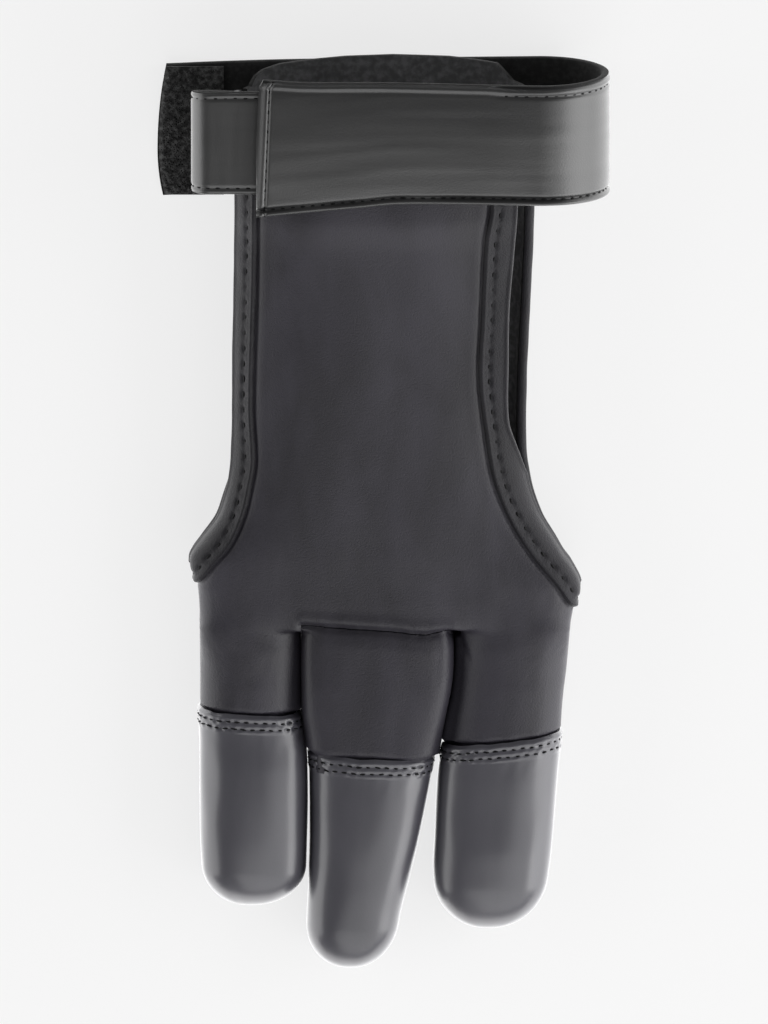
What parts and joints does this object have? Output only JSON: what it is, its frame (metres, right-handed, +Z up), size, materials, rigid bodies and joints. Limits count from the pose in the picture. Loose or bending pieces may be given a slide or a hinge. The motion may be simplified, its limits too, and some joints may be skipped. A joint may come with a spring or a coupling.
{
  "type": "archery glove",
  "caption": "Three-finger leather shooting glove with smooth finger stalls, an open palm flap and a hook-and-loop wrist strap, lying palm up.",
  "frame": {"origin": "under the middle of the glove's bounding box, on the surface that it lies on", "axes": "+Z up; +Y from the fingertips towards the wrist; +X towards the little-finger side, with the palm up"},
  "size_m": [0.1036, 0.2158, 0.0328],
  "materials": {
    "palm_leather": "fine-grained, matt",
    "stall_leather": "smooth, satin",
    "hem_leather": "fine-grained, matt, stitched",
    "strap_leather": "smooth, satin",
    "hook_tape": "hook-and-loop nap"
  },
  "bodies": {
    "root": {"palm_panel": "palm_leather", "middle_inset": "palm_leather", "back_panel": "palm_leather", "index_stall": "stall_leather", "middle_stall": "stall_leather", "ring_stall": "stall_leather", "palm_hem_left": "hem_leather", "palm_hem_right": "hem_leather", "back_hem_left": "hem_leather", "back_hem_right": "hem_leather", "wrist_strap": "strap_leather", "cuff_band": "strap_leather", "hook_patch": "hook_tape"}
  },
  "joints": []
}
